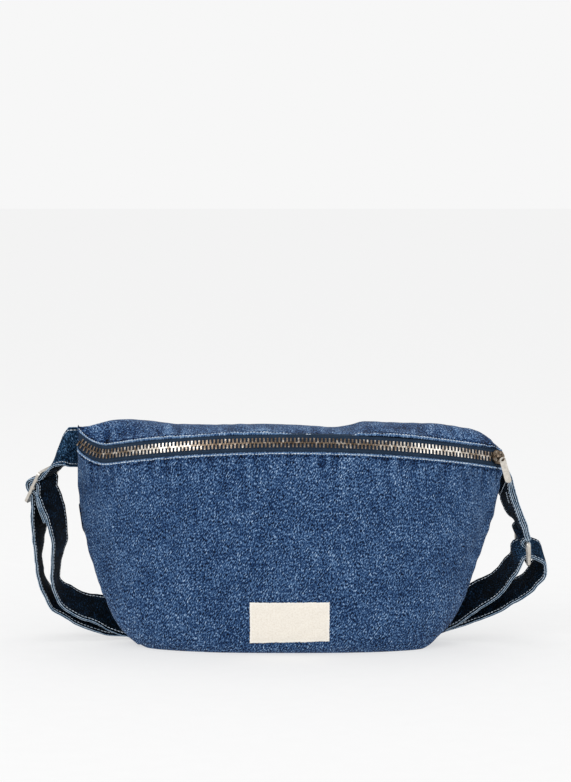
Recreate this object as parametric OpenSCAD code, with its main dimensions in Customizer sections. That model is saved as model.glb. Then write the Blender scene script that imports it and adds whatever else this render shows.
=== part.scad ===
// Denim waist pack with a curved zip, a woven-through strap, a tri-glide and a rectangular ring.
// Millimetres. +Z up, -Y is the front, origin on the middle of the flat base.

/* [Bag] */
// Width between the side seams at the zip
bag_half_w = 170; // [169:0.5:171]
// Height of the crown of the top panel
top_z = 179; // [177:0.5:181]
// Radius of the two lower corners seen from the front
corner_r = 57; // [50:1:60]
// Depth of the flat base
base_depth = 52; // [46:1:56]
// Thickness of the denim
denim_t = 1.2; // [1:0.1:1.4]
// Thickness of the lining
lining_t = 0.5; // [0.4:0.1:0.6]

/* [Zip] */
// Radius of the zip's long arc
zip_r = 296; // [290:1:302]
// Lean of the zip's plane from level
zip_tilt = 20; // [19:0.5:22]
// Half the angle of the long arc
zip_half_angle = 34.5; // [34.3:0.1:34.7]
// Radius where the zip turns into a side seam
zip_turn_r = 5; // [4:0.5:6]
// Rise of the zip's left end, which curls up from the long arc
curl_h = 14; // [12:0.5:14]
// Distance between two teeth on one tape
tooth_pitch = 3; // [2.8:0.1:3.2]
// Visible half width of the tape between the folded denim edges
tape_show = 7; // [6.5:0.5:7.5]
// Half width of the two tapes together, up to where the denim covers them
tape_half = 6.4; // [6.2:0.1:6.5]
// Length of the slider
slider_l = 11; // [10:0.5:12]
// Length of the pull below its eye
pull_l = 21; // [16:1:24]

/* [Strap] */
// Width of the strap
strap_w = 32; // [30:1:32]
// Thickness of the strap
strap_t = 2.4; // [2:0.1:2.6]

/* [Hardware] */
// Width of the tri-glide along the strap's width
glide_w = 38; // [37.5:0.5:39]
// Height of the tri-glide along the strap
glide_h = 30; // [29:0.5:31]
// Radius of the bars of the ring and of the tri-glide's middle bar
bar_r = 1.9; // [1.7:0.1:2]
// Distance between the middles of the ring's long bars
ring_gap = 18; // [17.5:0.5:19]

/* [Label] */
// Width of the sewn label
label_w = 64; // [50:1:70]

/* [Hidden] */

denim = [0.2, 0.33, 0.52];
denim_dark = [0.14, 0.22, 0.38];
cotton = [0.75, 0.72, 0.66];
cream = [0.92, 0.88, 0.78];
tape_blue = [0.16, 0.21, 0.3];
old_brass = [0.62, 0.56, 0.45];
nickel = [0.75, 0.74, 0.72];

// ---- zip path: a long arc in a leaning plane, turned into the side seams at both ends ----
zip_front = [0, -45, 168];
main_s = zip_r * zip_half_angle * PI / 180;
turn_s = zip_turn_r * (90 - zip_half_angle) * PI / 180;
seam_s = main_s + turn_s;
inner_r = zip_r - zip_turn_r;
zip_b = [0, sin(zip_tilt), cos(zip_tilt)];
zip_out = [0, -cos(zip_tilt), sin(zip_tilt)];

function path_angle(s) = abs(s) <= main_s
    ? s / zip_r * 180 / PI
    : sign(s) * (zip_half_angle + (abs(s) - main_s) / zip_turn_r * 180 / PI);
function path_x(s) = abs(s) <= main_s
    ? zip_r * sin(path_angle(s))
    : inner_r * sin(sign(s) * zip_half_angle) + zip_turn_r * sin(path_angle(s));
// The left end curls up over the last stretch of the long arc
curl_l = 30;
function curl(s) = curl_h * (max(0, -s - main_s + curl_l) / curl_l)^2;
function curl_angle(s) = atan(2 * curl_h * max(0, -s - main_s + curl_l) / curl_l^2);
function path_out(s) = (abs(s) <= main_s
    ? zip_r * cos(path_angle(s))
    : inner_r * cos(zip_half_angle) + zip_turn_r * cos(path_angle(s))) - zip_r;
function zip_point(s) =
    zip_front + [path_x(s), 0, 0] + path_out(s) * zip_out + curl(s) * zip_b;

module at_zip(s) {
    translate(zip_front) rotate([90 - zip_tilt, 0, 0])
        translate([path_x(s), curl(s), path_out(s)])
            rotate([0, path_angle(s), 0]) rotate([0, 0, -curl_angle(s)]) children();
}

// ---- the bag's surfaces: a point for each place s along the zip and t across a panel ----
// The bag sags to its left, so its two sides differ: lean is how far a side slopes for each
// unit up to its knee, above which it swells out to the seam
function lean(x) = x < 0 ? 0.17 : 0.24;
function knee(x) = x < 0 ? [bag_half_w - 8.5, 100] : [bag_half_w - 15, 90];
function side_end_z(x) = x < 0 ? 115 : 140;
function corner_dx(x) = corner_r * cos(atan(lean(x)));
function corner_dz(x) = corner_r * (1 - sin(atan(lean(x))));
function flat_half(x) = knee(x).x - lean(x) * (knee(x).y - corner_dz(x)) - corner_dx(x);
function low_z(x) = let (over = abs(x) - flat_half(x)) over < 0 ? 0
    : over < corner_dx(x) ? corner_r - sqrt(corner_r^2 - over^2)
    : abs(x) < knee(x).x ? corner_dz(x) + (over - corner_dx(x)) / lean(x)
    : knee(x).y + (abs(x) - knee(x).x) * (side_end_z(x) - knee(x).y) / (bag_half_w - knee(x).x);
function crown_z(x) = top_z - (x < 0
    ? 3 * (max(0, -x - 140) / 30)^2
    : 22 * (max(0, x - 120) / 50)^2);
function full(s) = sqrt(max(0, 1 - pow(min(1, abs(s) / seam_s), 2.6)));
function base_full(x) = max(0.05, 1 - pow(min(1, abs(x) / 150), 3));

function bezier3(a, b, c, d, t) =
    (1 - t)^3 * a + 3 * (1 - t)^2 * t * b + 3 * (1 - t) * t^2 * c + t^3 * d;
function bezier2(a, b, c, t) = (1 - t)^2 * a + 2 * (1 - t) * t * b + t^2 * c;

function lower_edge(s) = zip_point(s) - tape_show * zip_b;
function upper_edge(s) = zip_point(s) + tape_show * zip_b;
function bottom_seam(s) = let (x = path_x(s)) [x, 12 + 10 * full(s), low_z(x)];
function base_front(s) = bottom_seam(s) - [0, base_depth * base_full(path_x(s)), 0];
function top_seam(s) = let (x = path_x(s), q = full(s)) [x, 12 + 12 * q, crown_z(x) - 5 * q];

// t from 0 to 1 goes down the front and from 1 to 2 back under the base
front = function (s, t) let (
    a = lower_edge(s), d = base_front(s), e = bottom_seam(s), q = full(s),
    b = a + [0, -4.5 * q, -0.62 * (a.z - d.z)], c = d - [0, 18 * q, 0])
    t <= 1 ? bezier3(a, b, c, d, t) : d + (e - d) * (t - 1);
crown = function (s, t) let (
    a = upper_edge(s), c = top_seam(s), q = full(s),
    b = [path_x(s), (a.y + c.y) / 2, crown_z(path_x(s)) + 6 * q])
    bezier2(a, b, c, t);
back = function (s, t) let (
    a = top_seam(s), d = bottom_seam(s), q = full(s), h = a.z - d.z)
    bezier3(a, a + [0, 12 * q, -0.3 * h], d + [0, 7 * q, 0.3 * h], d, t);

function unit(v) = v / norm(v);
function inward(f, s, t, side) = let (e = 0.2)
    side * unit(cross(f(s + e, t) - f(s - e, t), f(s, t + e / 20) - f(s, t - e / 20)));

// A closed sheet on surface f: its outer face d0 inside the surface, its inner face d1 inside it.
// side is 1 where s crossed with t points into the bag, and -1 where it points out
module sheet_on(f, ss, ts, side, d0, d1) {
    m = len(ts);
    n = len(ss);
    pts = [for (d = [d0, d1], s = ss, t = ts) f(s, t) + d * inward(f, s, t, side)];
    k = n * m;
    quads = concat(
        [for (i = [0:n - 2], j = [0:m - 2])
            [i * m + j, i * m + j + 1, (i + 1) * m + j + 1, (i + 1) * m + j]],
        [for (i = [0:n - 2], j = [0:m - 2])
            [k + (i + 1) * m + j, k + (i + 1) * m + j + 1, k + i * m + j + 1, k + i * m + j]],
        [for (i = [0:n - 2]) [i * m, (i + 1) * m, k + (i + 1) * m, k + i * m]],
        [for (i = [0:n - 2])
            [k + i * m + m - 1, k + (i + 1) * m + m - 1, (i + 1) * m + m - 1, i * m + m - 1]],
        [for (j = [0:m - 2]) [j + 1, j, k + j, k + j + 1]],
        [for (j = [0:m - 2])
            [(n - 1) * m + j, (n - 1) * m + j + 1, k + (n - 1) * m + j + 1, k + (n - 1) * m + j]]);
    tris = [for (q = quads) each [[q[0], q[1], q[2]], [q[0], q[2], q[3]]]];
    polyhedron(pts, side < 0 ? tris : [for (f = tris) [f[2], f[1], f[0]]]);
}

function steps(a, b, n) = [for (i = [0:n]) a + (b - a) * i / n];
panel_s = seam_s - 0.9;
side_ss = [main_s + 1.3, main_s + 2.6, panel_s];
// Stations along the zip: even over the long arc, closer over the curl and round each end
curl_from = curl_l - main_s;
function stations(n, ends) = concat(
    [for (i = [len(ends) - 1:-1:0]) -ends[i]], steps(-main_s, curl_from - 5, 5),
    steps(curl_from, main_s, n), ends);
sheet_ss = stations(27, side_ss);
front_ts = concat(steps(0, 1, 10), [1.5, 2]);
crown_ts = steps(0, 1, 7);
back_ts = steps(0.02, 0.98, 10);
fold_gap = 0.4;

module front_panel() color(denim) sheet_on(front, sheet_ss, front_ts, 1, 0, denim_t);
module top_panel() color(denim) sheet_on(crown, sheet_ss, crown_ts, -1, 0, denim_t);
module back_panel() color(denim_dark) sheet_on(back, sheet_ss, back_ts, -1, 0, denim_t);

// The lining follows the panels' own stations, short of every seam
lining_ss = [for (x = steps(curl_from, main_s, 27)) if (x < main_s - curl_l) x];
lining_d = denim_t + fold_gap;
function inner_of(ts, first, last) = [for (i = [first:len(ts) - 1 - last]) ts[i]];
module lining(f, ts, side) color(cotton)
    sheet_on(f, lining_ss, ts, side, lining_d, lining_d + lining_t);
module lining_front() lining(front, inner_of(front_ts, 1, 1), 1);
module lining_top() lining(crown, inner_of(crown_ts, 2, 1), -1);
module lining_back() lining(back, inner_of(back_ts, 1, 1), -1);

label_ts = steps(0.505, 0.765, 4);
module label() color(cream)
    sheet_on(front, steps(-label_w / 2, label_w / 2, 8), label_ts, 1, -1, -0.3);

// ---- zip ----
tape_t = 0.7;
bead = 1;
// The tapes run on into the side seams' turns
tape_ss = stations(108, [main_s + 0.8, main_s + 1.6]);
// One tape lies on one side of the zip's middle line: side is -1 below and +1 above
module tape(side) {
    surface = function (s, t) zip_point(s) + side * (bead + (tape_half - bead) * t) * zip_b;
    sheet_on(surface, tape_ss, [0, 0.5, 1], -side, -tape_t / 2, tape_t / 2);
}
module zip_tape_lower() color(tape_blue) tape(-1);
module zip_tape_upper() color(tape_blue) tape(1);

tooth_l = 1.3;
tooth_half_t = 1.3;
tooth_reach = 3.8;
tooth_head = 0.5;
// A tooth grips the bead of its tape and its head reaches just past the middle
module tooth(side) {
    slot_t = tape_t + 0.44;
    slot_from = 0.55 * bead;
    mirror([0, side > 0 ? 0 : 1, 0]) difference() {
        translate([-tooth_l / 2, -tooth_head, -tooth_half_t])
            cube([tooth_l, tooth_reach + tooth_head, 2 * tooth_half_t]);
        translate([-tooth_l, slot_from, -slot_t / 2]) cube([2 * tooth_l, tooth_reach, slot_t]);
    }
}
tooth_n = 59;
module teeth(side) {
    for (i = [-tooth_n:tooth_n]) at_zip((i + 0.25 * side) * tooth_pitch) tooth(side);
}
module zip_teeth_lower() color(old_brass) teeth(-1);
module zip_teeth_upper() color(old_brass) teeth(1);

slider_s = 174.5;
slider_w = 11;
plate_z = 1.8;
plate_t = 1.3;
rail_w = 0.9;
rail_z = tape_t / 2 + 0.35;
leg_z = 0.45;
arch_r = 3.8;
arch_hole_r = 2.5;
bridge_w = 1.8;
arch_z = plate_z + plate_t + leg_z;
bridge_z = arch_z + (arch_r + arch_hole_r) / 2;
slider_corner = 2.5;

// Rounded plate with a rail along each long edge, above the chain
module slider_plate() {
    translate([0, 0, plate_z]) linear_extrude(plate_t) intersection() {
        square([slider_l, slider_w], center = true);
        circle(r = slider_l / 2 + 0.7, $fn = 64);
    }
    for (m = [0, 1]) mirror([0, m, 0])
        translate([-slider_l / 2 + slider_corner, slider_w / 2 - rail_w, rail_z])
            cube([slider_l - 2 * slider_corner, rail_w, plate_z - rail_z + 0.5]);
}
module bridge() {
    translate([0, bridge_w / 2, arch_z]) rotate([90, 0, 0]) linear_extrude(bridge_w) {
        difference() {
            circle(r = arch_r, $fn = 48);
            circle(r = arch_hole_r, $fn = 48);
            translate([-arch_r - 1, -arch_r - 1]) square([2 * arch_r + 2, arch_r + 1]);
        }
        for (m = [0, 1]) mirror([m, 0])
            translate([arch_hole_r, -leg_z - 0.3]) square([arch_r - arch_hole_r, leg_z + 0.31]);
    }
}
module zip_slider() color(old_brass) at_zip(slider_s) {
    slider_plate();
    mirror([0, 0, 1]) slider_plate();
    bridge();
}

// The link hangs from the bridge, and link and pull swing about the bridge's round bar
link_r = 2.7;
link_wire = 0.5;
link_drop = link_r - link_wire - bridge_w / 2 - 0.3;
pull_lean = 20;
pull_twist = 46;
pull_t = 1.1;
pull_w = 5;
eye_r = 1.3;
pull_top_r = 2.5;
module at_pull() {
    at_zip(slider_s) translate([0, 0, bridge_z]) rotate([-pull_lean, 0, 0]) children();
}
module zip_link() color(old_brass) at_pull()
    translate([0, -link_drop, 0]) rotate([0, 90, 0])
        rotate_extrude($fn = 48) translate([link_r, 0]) circle(r = link_wire, $fn = 16);
module zip_pull() color(nickel) at_pull()
    translate([0, -link_drop - link_r, 0]) rotate([0, -pull_twist, 0])
        translate([0, 0, -pull_t / 2]) linear_extrude(pull_t) difference() {
            polygon(concat(
                [for (a = [0:15:180]) pull_top_r * [cos(a), sin(a)]],
                [for (a = [180:15:360])
                    [0, -pull_l + pull_w / 2] + pull_w / 2 * [cos(a), sin(a)]]));
            circle(r = eye_r, $fn = 32);
        }

// ---- strap: each stop on a route is [near edge point, direction across the strap] ----
function spline(p0, p1, p2, p3, t) = 0.5 * (2 * p1 + (p2 - p0) * t
    + (2 * p0 - 5 * p1 + 4 * p2 - p3) * t^2 + (3 * p1 - p0 - 3 * p2 + p3) * t^3);
function smooth(route, k, n) = let (m = len(route) - 1) concat(
    [for (i = [0:m - 1], j = [0:n - 1]) spline(
        route[max(0, i - 1)][k], route[i][k], route[i + 1][k], route[min(m, i + 2)][k], j / n)],
    [route[m][k]]);

module ribbon(route, n, thick) {
    near = smooth(route, 0, n);
    raw = smooth(route, 1, n);
    m = len(near);
    wide = [for (v = raw) unit(v)];
    mid = [for (i = [0:m - 1]) near[i] + wide[i] * strap_w / 2];
    lift = [for (i = [0:m - 1])
        unit(cross(mid[min(m - 1, i + 1)] - mid[max(0, i - 1)], wide[i])) * thick / 2];
    pts = [for (i = [0:m - 1]) each [
        near[i] - lift[i], near[i] + wide[i] * strap_w - lift[i],
        near[i] + wide[i] * strap_w + lift[i], near[i] + lift[i]]];
    walls = [for (i = [0:m - 2], j = [0:3]) let (a = 4 * i + j, b = 4 * i + (j + 1) % 4)
        each [[b + 4, b, a], [a + 4, b + 4, a]]];
    polyhedron(pts, concat(walls, [[0, 1, 2], [0, 2, 3]],
        [[4 * m - 2, 4 * m - 3, 4 * m - 4], [4 * m - 1, 4 * m - 2, 4 * m - 4]]));
}

// Tri-glide: across is along its bars, along points down the strap, face points outwards
glide_mid = [-197.3, 12.6, 130.4];
glide_across = unit([0.42, 0.89, 0.15]);
glide_along = unit(cross(cross(glide_across, [-0.42, 0.35, -0.88]), glide_across));
glide_face = cross(glide_across, glide_along);
module in_frame(o, x, y, z) {
    multmatrix([[x.x, y.x, z.x, o.x], [x.y, y.y, z.y, o.y], [x.z, y.z, z.z, o.z], [0, 0, 0, 1]])
        children();
}
function at_glide(across, along, face) = glide_mid
    + across * glide_across + along * glide_along + face * glide_face;
glide_t = 2.2;
glide_bar = 3.8;
module rounded(w, h, r) {
    for (x = [-1, 1], y = [-1, 1])
        translate([x * (w / 2 - r), y * (h / 2 - r)]) circle(r = r, $fn = 40);
    square([w - 2 * r, h], center = true);
    square([w, h - 2 * r], center = true);
}
module triglide() color(nickel) in_frame(glide_mid, glide_across, glide_along, glide_face) {
    translate([0, 0, -glide_t / 2]) linear_extrude(glide_t) difference() {
        rounded(glide_w, glide_h, 3.5);
        rounded(glide_w - 5, glide_h - 2 * glide_bar, 1.5);
    }
    translate([-glide_w / 2 + 1, 0, 0]) rotate([0, 90, 0]) cylinder(r = bar_r, h = glide_w - 2, $fn = 48);
}

half_w = strap_w / 2;
wing_mid_z = 157;
wing_y = 17;
module strap_root() color(denim) ribbon([
    [[-167, wing_y, wing_mid_z - half_w], [0, 0, 1]],
    [[-172, wing_y, wing_mid_z - half_w], [0, 0, 1]]], 1, strap_t);

// Under the tri-glide's upper bar, inside it
under = -glide_t / 2 - strap_t / 2 - 0.5;
bulge = bar_r + strap_t * 1.5 + 1.2;
module strap_upper() color(denim) ribbon([
    [[-173.6, wing_y - 0.6, wing_mid_z - half_w], [0, 0, 1]],
    [[-176.8, 10.5, 142.8], [0.01, 0.23, 0.97]],
    [[-181.5, 3, 145], [0.07, 0.56, 0.82]],
    [[-188.5, -4.5, 144.5], [0.16, 0.85, 0.5]],
    [at_glide(-half_w, -17, under - 1), glide_across],
    [at_glide(-half_w, -12.6, under), glide_across]], 4, strap_t);
module strap_weave() color(denim) ribbon([
    [at_glide(-half_w, -11.4, under), glide_across],
    [at_glide(-half_w, -7.9, -1.5), glide_across],
    [at_glide(-half_w, -4.2, bulge - 2), glide_across],
    [at_glide(-half_w, 0, bulge), glide_across],
    [at_glide(-half_w, 4.2, bulge - 2), glide_across],
    [at_glide(-half_w, 7.9, -1.5), glide_across],
    [at_glide(-half_w, 11.4, under - 0.5), glide_across],
    [at_glide(-half_w, 15.5, under - 3), glide_across]], 3, strap_t);

fold_r = bar_r + 0.4 + strap_t / 2;
tail_l = 20.5;
tail_angle = -51;
// The strap's end goes round the middle bar, and its two layers leave together
module strap_end() color(denim)
    in_frame(at_glide(-half_w, 0, 0), glide_along, glide_face, glide_across)
        linear_extrude(strap_w) difference() {
            union() {
                circle(r = fold_r + strap_t / 2, $fn = 48);
                rotate(tail_angle) translate([0, -strap_t]) square([tail_l, 2 * strap_t]);
            }
            circle(r = fold_r - strap_t / 2, $fn = 48);
        }

// The ring: across along its long bars, fall from the upper bar to the lower one
ring_near = [190.7, 4, 80.5];
ring_across = unit([-0.18, 0.92, 0.34]);
ring_fall = unit(cross(cross(ring_across, [0.08, 0.32, -0.944]), ring_across));
ring_face = cross(ring_across, ring_fall);
ring_l = strap_w + 2 * bar_r + 1.8;
function at_ring(across, fall, face) = ring_near
    + across * ring_across + fall * ring_fall + face * ring_face;
ring_turn = 2.2;
module ring() color(nickel) in_frame(ring_near, ring_across, ring_fall, ring_face) {
    for (y = [0, ring_gap]) translate([ring_turn - 0.01, y, 0]) rotate([0, 90, 0])
        cylinder(r = bar_r, h = ring_l - 2 * ring_turn + 0.02, $fn = 48);
    for (x = [0, ring_l]) translate([x, ring_turn - 0.01, 0]) rotate([-90, 0, 0])
        cylinder(r = bar_r, h = ring_gap - 2 * ring_turn + 0.02, $fn = 48);
    for (x = [0, 1], y = [0, 1])
        translate([x * ring_l, y * ring_gap, 0]) mirror([x, 0, 0]) mirror([0, y, 0])
            translate([ring_turn, ring_turn, 0]) rotate([0, 0, 180])
                rotate_extrude(angle = 90, $fn = 48)
                    translate([ring_turn, 0]) circle(r = bar_r, $fn = 48);
}

strap_in = (ring_l - strap_w) / 2;
hang_r = 5.2;
// Over the ring's lower bar, angle 90 at the top
function over_bar(a) = at_ring(strap_in, ring_gap - hang_r * sin(a), hang_r * cos(a) * ring_side);
ring_side = ring_face.x > 0 ? 1 : -1;

module strap_outer_run() color(denim) ribbon([
    [[-206, 0, 104], [0.34, 0.94, 0.06]],
    [[-205.8, 3, 94], [0.26, 0.97, 0]],
    [[-204.5, 8, 78], [0.12, 0.99, 0.02]],
    [[-204, 12, 64], [0.04, 1, 0.01]],
    [[-202, 17, 48], [0.02, 1, 0.06]],
    [[-198, 20, 37], [0.02, 0.98, 0.16]],
    [[-193, 24, 26], [0.04, 0.95, 0.3]],
    [[-184, 27.5, 19], [0.04, 0.9, 0.43]],
    [[-172, 30, 11], [0, 0.8, 0.6]],
    [[-157, 32, 5], [0, 0.7, 0.7]],
    [[-146, 33, 2], [0, 0.5, 0.85]],
    [[-120, 35, 1], [0, 0.2, 0.98]],
    [[-60, 50, 1], [0, 0, 1]],
    [[0, 58, 1], [0, 0, 1]],
    [[60, 50, 1], [0, 0, 1]],
    [[103, 36, 1], [0, 0.1, 0.99]],
    [[117, 33, 2], [0, 0.3, 0.95]],
    [[128, 32, 6], [0, 0.45, 0.9]],
    [[139, 31, 9.5], [0, 0.55, 0.83]],
    [[151, 30, 14], [0, 0.65, 0.76]],
    [[169, 27, 22], [0.03, 0.78, 0.62]],
    [[179, 24, 29], [0.08, 0.86, 0.5]],
    [[188, 19, 35], [0.1, 0.86, 0.5]],
    [[194, 16, 40], [0.04, 0.84, 0.54]],
    [[199, 14, 46], [0, 0.83, 0.56]],
    [[204, 11.5, 52], [-0.04, 0.84, 0.54]],
    [[205.5, 10, 58], [-0.08, 0.86, 0.5]],
    [[204.5, 10, 64], [-0.1, 0.87, 0.48]],
    [over_bar(35) + [2, 0, 0], ring_across + [0.06, 0, 0.08]],
    [over_bar(60), ring_across],
    [over_bar(84), ring_across]], 3, strap_t);
module strap_inner_run() color(denim) ribbon([
    [over_bar(96), ring_across],
    [over_bar(130), ring_across],
    [over_bar(165), ring_across],
    [[183.5, 12.5, 58], [-0.1, 0.93, 0.34]],
    [[178.7, 15, 50.5], [-0.09, 0.9, 0.42]],
    [[168, 19.5, 36], [-0.08, 0.93, 0.36]],
    [[153, 23, 25], [0.05, 0.76, 0.65]],
    [[142, 24.5, 16.5], [0.05, 0.66, 0.75]],
    [[135, 25.5, 11.5], [0.03, 0.6, 0.8]],
    [[127, 26.5, 7.5], [0, 0.5, 0.87]],
    [[116, 28, 2.5], [0, 0.33, 0.94]],
    [[103, 30.5, 1], [0, 0.15, 0.98]],
    [[60, 44, 1], [0, 0, 1]],
    [[0, 52, 1], [0, 0, 1]],
    [[-60, 44, 1], [0, 0, 1]],
    [[-120, 29, 1], [0, 0.3, 0.95]],
    [[-134, 27.5, 2.5], [0, 0.42, 0.9]],
    [[-146, 26, 7], [0, 0.6, 0.8]],
    [[-157, 25.5, 13], [0, 0.79, 0.61]],
    [[-172, 25, 19], [0.07, 0.88, 0.47]],
    [[-184.5, 23, 27.5], [0.18, 0.9, 0.38]],
    [[-189, 20, 37], [0.08, 0.97, 0.2]],
    [[-191.5, 18, 47], [0.07, 1, 0.03]],
    [[-191.5, 14, 59], [0.12, 0.99, 0.02]],
    [[-191, 10, 69], [0.2, 0.98, 0.03]],
    [[-190, 6, 81], [0.28, 0.96, 0.02]],
    [[-191.5, 2, 91], [0.34, 0.94, 0.04]],
    [[-193.5, 0, 97], [0.38, 0.92, 0.1]]], 3, strap_t);

tab_mid_z = 126;
tab_y = 15;
module tab_root() color(denim) ribbon([
    [[167, tab_y, tab_mid_z + half_w], [0, 0, -1]],
    [[171.6, tab_y, tab_mid_z + half_w], [0, 0, -1]]], 1, strap_t);

tab_hole_r = bar_r + 0.4;
module ring_tab() color(denim) union() {
    ribbon([
        [[175.4, 6, 135], [-0.1, 0.8, -0.6]],
        [[177, 4, 127.5], [-0.14, 0.85, -0.5]],
        [[179.3, 1.5, 119], [-0.14, 0.88, -0.45]],
        [[181.8, 0, 111.5], [-0.16, 0.91, -0.36]],
        [[184.5, 0, 104], [-0.2, 0.95, -0.22]],
        [[188.5, 1.5, 94], [-0.22, 0.97, 0.04]],
        [at_ring(strap_in, -tab_hole_r - 1.3, 0), ring_across]], 3, 2 * strap_t);
    in_frame(at_ring(strap_in, 0, 0), ring_fall, ring_face, ring_across)
        linear_extrude(strap_w) difference() {
            circle(r = tab_hole_r + strap_t, $fn = 48);
            circle(r = tab_hole_r, $fn = 48);
        }
}

front_panel();
top_panel();
back_panel();
lining_front();
lining_top();
lining_back();
zip_tape_lower();
zip_tape_upper();
zip_teeth_lower();
zip_teeth_upper();
zip_slider();
zip_link();
zip_pull();
label();
strap_root();
strap_upper();
strap_weave();
strap_end();
strap_outer_run();
strap_inner_run();
triglide();
tab_root();
ring_tab();
ring();
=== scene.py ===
"""Denim waist pack: cloth, stitching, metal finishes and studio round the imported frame.

Shapes are worked out in millimetres, in the frame's own axes, and become metres in mesh_piece().
"""

import math

import bpy
import numpy as np
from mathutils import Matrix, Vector


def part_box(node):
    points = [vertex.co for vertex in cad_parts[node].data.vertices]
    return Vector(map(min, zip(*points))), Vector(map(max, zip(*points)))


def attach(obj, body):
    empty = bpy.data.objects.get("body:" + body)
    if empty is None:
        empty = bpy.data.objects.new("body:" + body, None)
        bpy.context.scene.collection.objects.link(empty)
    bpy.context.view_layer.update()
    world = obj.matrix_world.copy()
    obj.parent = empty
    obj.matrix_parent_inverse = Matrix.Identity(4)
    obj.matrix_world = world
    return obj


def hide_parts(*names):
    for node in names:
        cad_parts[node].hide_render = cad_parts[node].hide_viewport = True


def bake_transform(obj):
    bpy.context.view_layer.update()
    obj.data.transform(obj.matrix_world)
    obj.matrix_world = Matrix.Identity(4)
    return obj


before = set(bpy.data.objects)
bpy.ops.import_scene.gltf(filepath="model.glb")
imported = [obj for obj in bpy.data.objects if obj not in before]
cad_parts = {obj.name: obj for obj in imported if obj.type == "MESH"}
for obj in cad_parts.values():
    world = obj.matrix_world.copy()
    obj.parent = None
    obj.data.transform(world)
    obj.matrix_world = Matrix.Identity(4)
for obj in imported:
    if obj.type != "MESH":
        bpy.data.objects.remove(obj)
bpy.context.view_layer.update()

MM = 0.001

# ---- driving sizes, as in the CAD model, in millimetres ----
BASE_DEPTH = 52.0
DENIM_T = 1.2
LINING_T = 0.5
ZIP_R = 296.0
TILT = math.radians(20)
HALF_ANGLE = math.radians(34.5)
TURN_R = 5.0
CURL_H = 14.0
CURL_L = 30.0
TAPE_SHOW = 7.0
STRAP_W = 32.0
STRAP_T = 2.4
BAR_R = 1.9
RING_GAP = 18.0

INNER_R = ZIP_R - TURN_R
MAIN_S = ZIP_R * HALF_ANGLE
SEAM_S = MAIN_S + TURN_R * (math.pi / 2 - HALF_ANGLE)
ZIP_FRONT = np.array([0.0, -45.0, 168.0])
ZIP_UP = np.array([0.0, math.sin(TILT), math.cos(TILT)])
ZIP_OUT = np.array([0.0, -math.cos(TILT), math.sin(TILT)])
AXIS_X = np.array([1.0, 0.0, 0.0])


# ---- small helpers ----
def unit(v):
    return v / np.linalg.norm(v, axis=-1, keepdims=True)


def smoothstep(low, high, x):
    t = np.clip((x - low) / (high - low), 0, 1)
    return t * t * (3 - 2 * t)


def bump(x, middle, width):
    """A soft hill of height 1 round middle."""
    return np.exp(-(((x - middle) / width) ** 2))


def ripples(u, v, size_u, size_v, seed, waves=14):
    """Smooth noise about 0, with features of about size_u by size_v."""
    rng = np.random.default_rng(seed)
    total = np.zeros(np.broadcast(u, v).shape)
    for _ in range(waves):
        angle = rng.uniform(0, 2 * math.pi)
        stretch = rng.uniform(0.6, 1.5)
        shift = rng.uniform(0, 2 * math.pi)
        phase = 2 * math.pi * (u / size_u * math.cos(angle) + v / size_v * math.sin(angle)) * stretch
        total += np.sin(phase + shift)
    return total / math.sqrt(waves / 2) / 1.4


def soften(values, width):
    """Rounds the corners of evenly spaced samples with a moving average of width samples, twice."""
    kernel = np.ones(width) / width
    for _ in range(2):
        padded = np.pad(values, (width // 2, width - 1 - width // 2), mode="edge")
        values = np.convolve(padded, kernel, mode="valid")
    return values


def mesh_piece(name, points, faces, material, attributes=None):
    """A mesh object from points in millimetres, with named values on its points."""
    mesh = bpy.data.meshes.new(name)
    faces = faces if isinstance(faces, list) else faces.tolist()
    mesh.from_pydata((np.asarray(points) * MM).tolist(), [], faces)
    mesh.polygons.foreach_set("use_smooth", np.full(len(mesh.polygons), True))
    for key, values in (attributes or {}).items():
        values = np.asarray(values, np.float32)
        if values.ndim == 2:
            mesh.attributes.new(key, "FLOAT_VECTOR", "POINT").data.foreach_set("vector", values.ravel())
        else:
            mesh.attributes.new(key, "FLOAT", "POINT").data.foreach_set("value", values)
    mesh.materials.append(material)
    mesh.update()
    piece = bpy.data.objects.new(name, mesh)
    bpy.context.scene.collection.objects.link(piece)
    return piece


def grid_faces(n, m, offset=0):
    i, j = np.meshgrid(np.arange(n - 1), np.arange(m - 1), indexing="ij")
    a = (i * m + j).ravel() + offset
    return np.stack([a, a + m, a + m + 1, a + 1], axis=1)


def grid_normals(points):
    du = np.gradient(points, axis=0)
    dv = np.gradient(points, axis=1)
    normal = np.cross(dv, du)
    return normal / np.maximum(np.linalg.norm(normal, axis=-1, keepdims=True), 1e-9)


def closed_sheet(outer, normal, thick):
    """Points and faces of a closed sheet: outer is its visible side, and normal points out of it."""
    n, m = outer.shape[:2]
    inner = outer - normal * thick
    points = np.concatenate([outer.reshape(-1, 3), inner.reshape(-1, 3)])
    k = n * m
    index = np.arange(k).reshape(n, m)
    top = grid_faces(n, m)[:, ::-1]
    under = grid_faces(n, m, k)
    rim = np.concatenate([index[:, 0], index[-1, 1:], index[-2::-1, -1], index[0, -2:0:-1]])
    after = np.roll(rim, -1)
    walls = np.stack([rim, after, after + k, rim + k], axis=1)
    return points, np.concatenate([top, under, walls])


def tube_faces(rings, sides):
    """Wall faces of a tube, ring by ring, and the points of all its rings."""
    index = np.arange(rings * sides).reshape(rings, sides)
    after = np.roll(index, -1, axis=1)
    walls = np.stack([index[:-1], index[1:], after[1:], after[:-1]], axis=-1)
    return walls.reshape(-1, 4), index


# ---- the zip's path and the bag's surfaces ----
def path_angle(s):
    turned = HALF_ANGLE + (np.abs(s) - MAIN_S) / TURN_R
    return np.where(np.abs(s) <= MAIN_S, s / ZIP_R, np.sign(s) * turned)


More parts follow.
